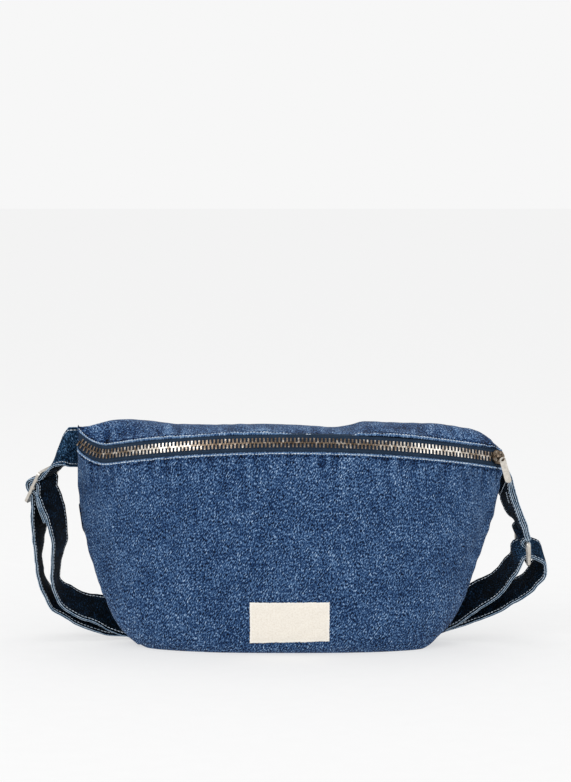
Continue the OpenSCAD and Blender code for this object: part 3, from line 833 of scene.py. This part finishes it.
LABEL_T = 0.75
across = np.linspace(label_low[0] + 0.3, label_high[0] - 0.8, 66)
fall = np.linspace(0, 1, 32)
places = np.empty((len(across), len(fall), 3))
facing = np.empty_like(places)
for i, x in enumerate(across):
    share = (x - across[0]) / (across[-1] - across[0])
    top = label_high[2] + 0.5 * share
    foot = label_low[2] + 1.9 * share
    for j, t in enumerate(fall):
        places[i, j], facing[i, j] = on_front(x, top + (foot - top) * t)
facing = unit(facing)
label_u = lengths_along(places)[:, None] + 0 * places[..., 0]
label_v = lengths_down(places)
side_rim = np.minimum(label_u - label_u[0], label_u[-1] - label_u)
rim = np.minimum(side_rim, np.minimum(label_v, label_v[:, -1:] - label_v))
puff = (LABEL_T + 0.25 * smoothstep(0.5, 5, rim) - 0.25 * bump(rim, 2.0, 0.7)
        + 0.18 * ripples(label_u, label_v, 14, 12, 61))
ragged = 0.22 * ripples(label_u, label_v, 1.6, 1.6, 63) * (rim < 0.4)
outer = places + facing * puff[..., None]
outer[..., 0] += ragged
outer[..., 2] += ragged
points, faces = closed_sheet(outer, facing, LABEL_T - 0.1)
# Pale worn rim; the negative bump 2 mm in is painted shade in the label's stitched groove.
rim_wear_and_shade = (0.8 * np.exp(-rim / 0.9) - 0.12 * bump(rim, 2.0, 0.5)).ravel()
values = {"cloth": cloth_places(label_u, label_v, 0 * label_u), "wear_and_shade": np.concatenate([rim_wear_and_shade, 0 * rim_wear_and_shade])}
sewn(mesh_piece("label_cloth", points, faces, CANVAS, values), "label_canvas", "label")

# ---- strap: each stop on a route is [near edge point, direction across the strap] ----
HALF_STRAP = STRAP_W / 2
GLIDE_MID = np.array([-197.3, 12.6, 130.4])
GLIDE_ACROSS = unit(np.array([0.42, 0.89, 0.15]))
GLIDE_ALONG = unit(np.cross(np.cross(GLIDE_ACROSS, [-0.42, 0.35, -0.88]), GLIDE_ACROSS))
GLIDE_FACE = np.cross(GLIDE_ACROSS, GLIDE_ALONG)
UNDER = -1.1 - STRAP_T / 2 - 0.5
BULGE = BAR_R + STRAP_T * 1.5 + 1.2
RING_NEAR = np.array([190.7, 4.0, 80.5])
RING_ACROSS = unit(np.array([-0.18, 0.92, 0.34]))
RING_FALL = unit(np.cross(np.cross(RING_ACROSS, [0.08, 0.32, -0.944]), RING_ACROSS))
RING_FACE = np.cross(RING_ACROSS, RING_FALL)
STRAP_IN = (2 * BAR_R + 1.8) / 2
HANG_R = 5.2
WRAP_R = BAR_R + 0.4 + STRAP_T / 2


def at_glide(along, face):
    return GLIDE_MID - HALF_STRAP * GLIDE_ACROSS + along * GLIDE_ALONG + face * GLIDE_FACE


def along_glide(along, face=0):
    """A place at the tri-glide in metres, for a blend."""
    return tuple(at_glide(along, face) * MM)


def at_ring(fall, face):
    return RING_NEAR + STRAP_IN * RING_ACROSS + fall * RING_FALL + face * RING_FACE


def over_bar(degrees):
    a = math.radians(degrees)
    return at_ring(RING_GAP - HANG_R * math.sin(a), -HANG_R * math.cos(a))


def smooth_route(stops, step=2.0):
    """Catmull-Rom points about step apart through the stops: near edges and unit directions across."""
    near = np.array([np.asarray(p, float) for p, _ in stops])
    wide = np.array([np.asarray(w, float) for _, w in stops])
    out = []
    for values in (near, wide):
        padded = np.concatenate([values[:1], values, values[-1:]])
        rows = []
        for i in range(len(values) - 1):
            p0, p1, p2, p3 = padded[i:i + 4]
            count = max(1, int(np.linalg.norm(near[i + 1] - near[i]) / step))
            t = np.linspace(0, 1, count, endpoint=False)[:, None]
            rows.append(0.5 * (2 * p1 + (p2 - p0) * t + (2 * p0 - 5 * p1 + 4 * p2 - p3) * t**2
                               + (3 * p1 - p0 - 3 * p2 + p3) * t**3))
        rows.append(values[-1:])
        out.append(np.concatenate(rows))
    return out[0], unit(out[1])


def with_lift(near, wide):
    """Adds the direction through the strap's thickness, square to its run."""
    middle = near + wide * HALF_STRAP
    return near, wide, unit(np.cross(np.gradient(middle, axis=0), wide))


# Places round the strap's section: distance across, and height as a share of half the thickness
FACE_A = np.concatenate([np.linspace(0.5, 5, 10), np.linspace(6, 26, 9), np.linspace(27, 31.5, 10)])
EDGE_A = np.array([31.9, 32.05, 31.85, 31.2, 31.85, 32.05, 31.9])
EDGE_H = np.array([0.78, 0.45, 0.16, 0.0, -0.16, -0.45, -0.78])
STITCH_IN = 2.4
FACE_SHIFT = 37  # moves the weave, so that the strap's two faces don't show the same pattern
TAB_START = 700  # moves it again on the ring tab
FOLD_GAP = 2.7  # between the two plies of the strap's folded end


def strap_profile():
    valley = 0.26 * (bump(FACE_A, STITCH_IN, 0.8) + bump(FACE_A, STRAP_W - STITCH_IN, 0.8))
    rise = 1.0 - valley - 0.10 * np.exp(-FACE_A / 1.0) - 0.10 * np.exp(-(STRAP_W - FACE_A) / 1.0)
    a = np.concatenate([FACE_A, EDGE_A, FACE_A[::-1], STRAP_W - EDGE_A])
    h = np.concatenate([rise, EDGE_H, -rise[::-1], -EDGE_H])
    edge = np.minimum(a, STRAP_W - a)
    on_edge = np.concatenate([0 * FACE_A, np.ones(len(EDGE_A))] * 2)
    # Marks the middle of each edge, where the two plies meet; it is painted dark as shade.
    ply_gap_shade = on_edge * (np.abs(h) < 0.2)
    return a, h, edge, on_edge, ply_gap_shade


def strap_piece(name, path, start, body, nodes, tone, fade=None, blend=None, seed=71):
    """A stretch of doubled denim strap with turned edges and two rows of stitches on each face."""
    near, wide, lift = path
    m = len(near)
    steps = np.linalg.norm(np.diff(near + wide * HALF_STRAP, axis=0), axis=1)
    length = start + np.concatenate([[0], np.cumsum(steps)])
    run = length[:, None]
    a, h, edge, on_edge, ply_gap_shade = strap_profile()
    wave = 0.28 * ripples(run, a, 17, 30, seed)
    pull = 0.12 * ripples(run, a, 8, 9, seed + 1) * np.exp(-edge / 5)
    height = h * STRAP_T / 2 + wave + pull
    points = near[:, None] + wide[:, None] * a[:, None] + lift[:, None] * height[..., None]
    sway = 0.10 * ripples(length, 0 * length, 12, 9, seed + 2)
    points = points + wide[:, None] * (sway[:, None, None] * np.sign(a - HALF_STRAP)[:, None])
    walls, index = tube_faces(m, len(a))
    faces = walls.tolist() + [index[0].tolist(), index[-1][::-1].tolist()]
    # Inner faces, and the outer face where the tone fades, are darkened partly as painted shade and partly
    # as unwashed denim.
    outer_tone, inner_tone = tone
    outer_face_tone = np.full(m, outer_tone) if fade is None else outer_tone * (1 - smoothstep(*fade, length)) + 0.12
    level = np.where(h < -0.1, outer_face_tone[:, None], inner_tone)
    # Pale worn edges, with painted shade along the line where the plies meet.
    level = np.where(on_edge > 0, 0.8, level) - 0.9 * ply_gap_shade
    by_place = 1.1 * on_edge + 0.45 * np.exp(-edge / 0.5) - 0.35 * bump(edge, 1.5, 0.5)
    wear_and_shade = (by_place + 0.12 * ripples(run, a, 9, 14, seed + 3)) * (1 - ply_gap_shade)
    cloth = np.stack([run + 0 * a, a + FACE_SHIFT * (h > 0) + 0 * run, level], axis=-1)
    piece = mesh_piece(name, points.reshape(-1, 3), faces, STRAP_DENIM,
                       {"cloth": cloth.reshape(-1, 3), "wear_and_shade": wear_and_shade.ravel()})
    if nodes:
        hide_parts(*nodes)
    carry(piece, body, blend)
    for face, sign in (("outer", -1), ("inner", 1)):
        for side, place in (("near", STITCH_IN), ("far", STRAP_W - STITCH_IN)):
            j = int(np.argmin(np.abs(a - place) + 10 * (np.sign(h) != sign)))
            line = points[:, j]
            stitch_row(f"{name}_{side}_{face}_stitches", line, lift * sign, body, pitch=2.9, radius=0.36,
                       sink=0.2, blend=blend)
    return length[-1]


STRAP_DENIM = denim_material("strap_denim", DARK_STOPS, 0.7, 0.0, 0.05)


def stops(*rows):
    """Stops of a strap's route, from rows of a near edge's x, y, z and the direction across."""
    return [[row[:3], row[3:]] for row in rows]


def glide_stops(*places):
    return [[at_glide(along, face), GLIDE_ACROSS] for along, face in places]


wing_stops = stops(
    (-167.6, 16.8, 142, 0, 0, 1), (-170, 16.6, 142, 0, 0.05, 1),
    (-176.8, 10.5, 142.8, 0.01, 0.23, 0.97), (-181.5, 3, 145, 0.07, 0.56, 0.82),
    (-188.5, -4.5, 144.5, 0.16, 0.85, 0.5)) + glide_stops(
    (-17, UNDER - 1), (-12.6, UNDER))
weave_stops = glide_stops(
    (-7.9, -1.5), (-4.2, BULGE - 2), (0, BULGE), (4.2, BULGE - 2), (7.9, -1.5), (11.4, UNDER - 0.5),
    (15.5, UNDER - 3))
outer_stops = stops(
    (-206, 0, 104, 0.34, 0.94, 0.06), (-205.8, 3, 94, 0.26, 0.97, 0), (-204.5, 8, 78, 0.12, 0.99, 0.02),
    (-204, 12, 64, 0.04, 1, 0.01), (-202, 17, 48, 0.02, 1, 0.06), (-198, 20, 37, 0.02, 0.98, 0.16),
    (-193, 24, 26, 0.04, 0.95, 0.3), (-184, 27.5, 19, 0.04, 0.9, 0.43), (-172, 30, 11, 0, 0.8, 0.6),
    (-157, 32, 5, 0, 0.7, 0.7), (-146, 33, 2, 0, 0.5, 0.85), (-120, 35, 1, 0, 0.2, 0.98),
    (-60, 50, 1, 0, 0, 1), (0, 58, 1, 0, 0, 1), (60, 50, 1, 0, 0, 1), (103, 36, 1, 0, 0.1, 0.99),
    (117, 33, 2, 0, 0.3, 0.95), (128, 32, 6, 0, 0.45, 0.9), (139, 31, 9.5, 0, 0.55, 0.83),
    (151, 30, 14, 0, 0.65, 0.76), (169, 27, 22, 0.03, 0.78, 0.62), (179, 24, 29, 0.08, 0.86, 0.5),
    (188, 19, 35, 0.1, 0.86, 0.5), (194, 16, 40, 0.04, 0.84, 0.54), (199, 14, 46, 0, 0.83, 0.56),
    (204, 11.5, 52, -0.04, 0.84, 0.54), (205.5, 10, 58, -0.08, 0.86, 0.5),
    (204.5, 10, 64, -0.1, 0.87, 0.48)) + [
    [over_bar(35) + [2, 0, 0], RING_ACROSS + [0.06, 0, 0.08]],
    [over_bar(65), RING_ACROSS], [over_bar(90), RING_ACROSS]]
inner_stops = [[over_bar(130), RING_ACROSS], [over_bar(165), RING_ACROSS]] + stops(
    (183.5, 12.5, 58, -0.1, 0.93, 0.34), (178.7, 15, 50.5, -0.09, 0.9, 0.42),
    (168, 19.5, 36, -0.06, 0.87, 0.49), (153, 23, 25, 0.05, 0.76, 0.65),
    (142, 24.5, 16.5, 0.05, 0.66, 0.75), (135, 25.5, 11.5, 0.03, 0.6, 0.8),
    (127, 26.5, 7.5, 0, 0.5, 0.87), (116, 28, 2.5, 0, 0.33, 0.94), (103, 30.5, 1, 0, 0.15, 0.98),
    (60, 44, 1, 0, 0, 1), (0, 52, 1, 0, 0, 1), (-60, 44, 1, 0, 0, 1), (-120, 29, 1, 0, 0.3, 0.95),
    (-134, 27.5, 2.5, 0, 0.42, 0.9), (-146, 26, 7, 0, 0.6, 0.8), (-157, 25.5, 13, 0, 0.79, 0.61),
    (-172, 25, 19, 0.07, 0.88, 0.47), (-184.5, 23, 27.5, 0.18, 0.9, 0.38),
    (-189, 20, 37, 0.08, 0.97, 0.2), (-191.5, 18, 47, 0.07, 1, 0.03),
    (-191.5, 14, 59, 0.12, 0.99, 0.02), (-191, 10, 69, 0.2, 0.98, 0.03),
    (-190, 6, 81, 0.28, 0.96, 0.02), (-191.5, 2, 91, 0.34, 0.94, 0.04))


def wrapped(at, begin, end):
    """A turn round a bar, from one angle to another, for a strap that comes up and goes back down."""
    angles = np.radians(np.linspace(begin, end, 22))
    return np.array([at(WRAP_R * math.cos(a), WRAP_R * math.sin(a)) for a in angles])


def cut(path, first, last):
    return tuple(part[first:last + 1] for part in path)


def nearest(path, place):
    return int(np.argmin(np.linalg.norm(path[0] - np.asarray(place), axis=1)))


through = with_lift(*smooth_route(wing_stops + weave_stops + outer_stops + inner_stops))
wing_end = nearest(through, wing_stops[4][0])
bar_top = nearest(through, at_glide(0, BULGE))
run_start = nearest(through, outer_stops[1][0])
ring_top = nearest(through, over_bar(90))
loop_end = len(through[0]) - 1

reach = strap_piece("strap_wing_cloth", cut(through, 0, wing_end), 0, "strap_loop",
                    ("strap_root", "strap_upper"), (0.85, 0.05),
                    blend=("bag", "strap_loop", (-0.170, 0.012, 0.152), (-0.187, 0.012, 0.152)))
reach = strap_piece("strap_weave_in_cloth", cut(through, wing_end, bar_top), reach, "triglide",
                    ("strap_weave",), (0.8, 0.05),
                    blend=("strap_loop", "triglide", along_glide(-24), along_glide(-11)))
reach = strap_piece("strap_weave_out_cloth", cut(through, bar_top, run_start), reach, "triglide",
                    (), (0.6, 0.05),
                    blend=("triglide", "strap_loop", along_glide(12), along_glide(34)))
reach = strap_piece("strap_outer_cloth", cut(through, run_start, ring_top), reach, "strap_loop",
                    ("strap_outer_run",), (0.66, 0.18))
# The inner run behind the bag fades dark: painted shade together with unwashed denim.
reach = strap_piece("strap_inner_cloth", cut(through, ring_top, loop_end), reach, "strap_loop",
                    ("strap_inner_run",), (0.66, 0.18), fade=(reach, reach + 18))

# The strap's end comes up, goes round the middle bar of the tri-glide, and lies back on itself
rise_stops = inner_stops[-2:] + stops((-193.5, 0, 99, 0.38, 0.92, 0.1)) + glide_stops(
    (13, -15.2), (7.4, -9.0), (3.0, -2.4))
rise_near, rise_wide = smooth_route(rise_stops)
begin = nearest((rise_near,), inner_stops[-1][0])
rise_near, rise_wide = rise_near[begin:], rise_wide[begin:]
turn = wrapped(at_glide, -30, 226)
rise = with_lift(rise_near, rise_wide)
back_near = (rise[0] + rise[2] * FOLD_GAP)[4:-2][::-1]
back_wide = rise[1][4:-2][::-1]
end_near = np.concatenate([rise_near[:-1], turn, back_near[1:]])
end_wide = np.concatenate([rise_wide[:-1], np.repeat(GLIDE_ACROSS[None], len(turn), 0), back_wide[1:]])
end_path = with_lift(end_near, end_wide)
end_blend = ("strap_loop", "triglide", (-0.1915, 0.002, 0.0925), along_glide(8, -9))
strap_piece("strap_end_cloth", end_path, reach, "triglide", ("strap_end",), (0.12, 0.05), blend=end_blend)

# The tab that holds the ring: down from the side seam, round the ring's upper bar, and back up
tab_stops = stops(
    (166, 9.5, 151, -0.02, 0.5, -0.86), (171.5, 8.4, 143, -0.05, 0.68, -0.72),
    (175.2, 6.4, 135, -0.1, 0.82, -0.56), (177, 4, 127.5, -0.13, 0.88, -0.45),
    (179.3, 1.5, 119, -0.14, 0.92, -0.34), (181.8, 0, 111.5, -0.15, 0.96, -0.22),
    (184.5, 0, 104, -0.17, 0.98, -0.06), (188.3, 1.5, 94, -0.18, 0.97, 0.16))
tab_stops.append([at_ring(-4.6, 0), RING_ACROSS])
fall_path = with_lift(*smooth_route(tab_stops, 1.6))
ply = 1.35
outside = fall_path[0] + fall_path[2] * ply
inside = fall_path[0] - fall_path[2] * ply
ring_turn = wrapped(at_ring, 222, -42)
tab_near = np.concatenate([outside[:-2], ring_turn, inside[:-2][::-1]])
ring_wide = np.repeat(RING_ACROSS[None], len(ring_turn), 0)
tab_wide = np.concatenate([fall_path[1][:-2], ring_wide, fall_path[1][:-2][::-1]])
tab_blend = ("bag", "strap_loop", (0.1705, 0.01, 0.15), (0.1775, 0.004, 0.138))
strap_piece("ring_tab_cloth", with_lift(tab_near, tab_wide), TAB_START, "strap_loop",
            ("ring_tab", "tab_root"), (0.25, 0.1), blend=tab_blend, seed=91)


# ---- hem line and bartack across the ring tab ----
def bartack(name, middle, along, across, up, body, blend, length=9.0, width=2.2, legs=13):
    """A dense zigzag of thread over a place that takes the load."""
    steps = np.linspace(-0.5, 0.5, legs)
    turns = np.where(np.arange(legs) % 2 == 0, -0.5, 0.5)
    points = middle + steps[:, None] * length * along + turns[:, None] * width * across
    leg = float(np.linalg.norm(points[1] - points[0]))
    up = np.repeat(up[None], legs, 0)
    stitch_row(name, points, up, body, pitch=leg, gap=0.1, radius=0.4, blend=blend)


HEM = nearest(fall_path, (175.6, 6, 133.5))
TACK = nearest(fall_path, (178.5, 2.5, 122))
hem_share = np.linspace(0.06, 0.94, 24)[:, None]
for face, sign in (("outer", 1), ("inner", -1)):
    near, wide, lift = (part[HEM] for part in fall_path)
    proud = sign * (ply + STRAP_T / 2 + 0.25)
    line = near + hem_share * wide * STRAP_W + lift * proud
    stitch_row(f"strap_tab_hem_{face}_stitches", line, np.repeat(lift[None] * sign, len(line), 0),
               "strap_loop", blend=tab_blend)
    near, wide, lift = (part[TACK] for part in fall_path)
    ahead = unit(fall_path[0][TACK + 1] - fall_path[0][TACK - 1])
    bartack(f"strap_tab_tack_{face}", near + wide * 9 + lift * proud, ahead, wide, lift * sign,
            "strap_loop", tab_blend)


# ---- metal parts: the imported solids, with their edges broken ----
def finish_metal(node, material, width):
    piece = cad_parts[node]
    piece.data.materials.clear()
    piece.data.materials.append(material)
    edges = piece.modifiers.new("broken_edges", "BEVEL")
    edges.width = width * MM
    edges.segments = 2
    edges.limit_method = "ANGLE"
    edges.angle_limit = math.radians(40)


for node, material, width in (
        ("zip_teeth_lower", BRASS, 0.28), ("zip_teeth_upper", BRASS, 0.28), ("zip_slider", BRASS, 0.25),
        ("zip_link", BRASS, 0.05), ("zip_pull", NICKEL, 0.3), ("triglide", NICKEL, 0.5),
        ("ring", NICKEL, 0.1)):
    finish_metal(node, material, width)


# ---- studio ----
FLOOR_HALF = 20000.0  # millimetres
FLOOR_GLOW = 0.585
PAPER_LOW, PAPER_HIGH = 0.325, 0.345
ROOM_GLOW = 0.93
WHITE = (1.0, 1.0, 1.0, 1.0)


def floor():
    """A pale level floor to the horizon, which glows a little, as white paper under bright light does."""
    corners = [[x * FLOOR_HALF, y * FLOOR_HALF, 0] for x, y in ((-1, -1), (1, -1), (1, 1), (-1, 1))]
    shader = Shader("studio_paper", Roughness=0.95, Specular_IOR_Level=0.0, Emission_Strength=FLOOR_GLOW)
    shader.surface.inputs["Emission Color"].default_value = WHITE
    grain = shader.noise(shader.node("TexCoord").outputs["Object"], 60.0, 2.0)
    shader.colour(shader.ramp(grain, [(0.0, (PAPER_LOW,) * 3), (1.0, (PAPER_HIGH,) * 3)]))
    piece = mesh_piece("floor", corners, [[0, 1, 2, 3]], shader.material)


def softbox(name, place, size, energy):
    light = bpy.data.lights.new(name, "AREA")
    light.shape = "RECTANGLE"
    light.size, light.size_y = size
    light.energy = energy
    made = bpy.data.objects.new(name, light)
    made.location = place
    made.rotation_euler = (Vector((0, 0, 0.09)) - made.location).to_track_quat("-Z", "Y").to_euler()
    bpy.context.scene.collection.objects.link(made)


floor()
softbox("key", (-1.1, -1.5, 1.5), (0.9, 0.9), 9)
softbox("fill", (1.5, -1.3, 0.7), (1.2, 1.0), 3)
softbox("top", (0.1, 0.6, 1.9), (1.4, 0.8), 3)
world = bpy.data.worlds.new("studio")
world.use_nodes = True
world.node_tree.nodes["Background"].inputs["Color"].default_value = WHITE
world.node_tree.nodes["Background"].inputs["Strength"].default_value = ROOM_GLOW
bpy.context.scene.world = world
bpy.context.scene.view_settings.view_transform = "Standard"

CAMERA_X = -0.0035
AIM_Z = 0.2046
camera_data = bpy.data.cameras.new("camera")
camera_data.lens = 120
camera_data.sensor_fit = "VERTICAL"
camera_data.sensor_height = 36
camera = bpy.data.objects.new("camera", camera_data)
camera.location = (CAMERA_X, -2.0621, 0.3850)
aim = Vector((CAMERA_X, 0.0, AIM_Z)) - camera.location
camera.rotation_euler = aim.to_track_quat("-Z", "Y").to_euler()
bpy.context.scene.collection.objects.link(camera)
bpy.context.scene.camera = camera
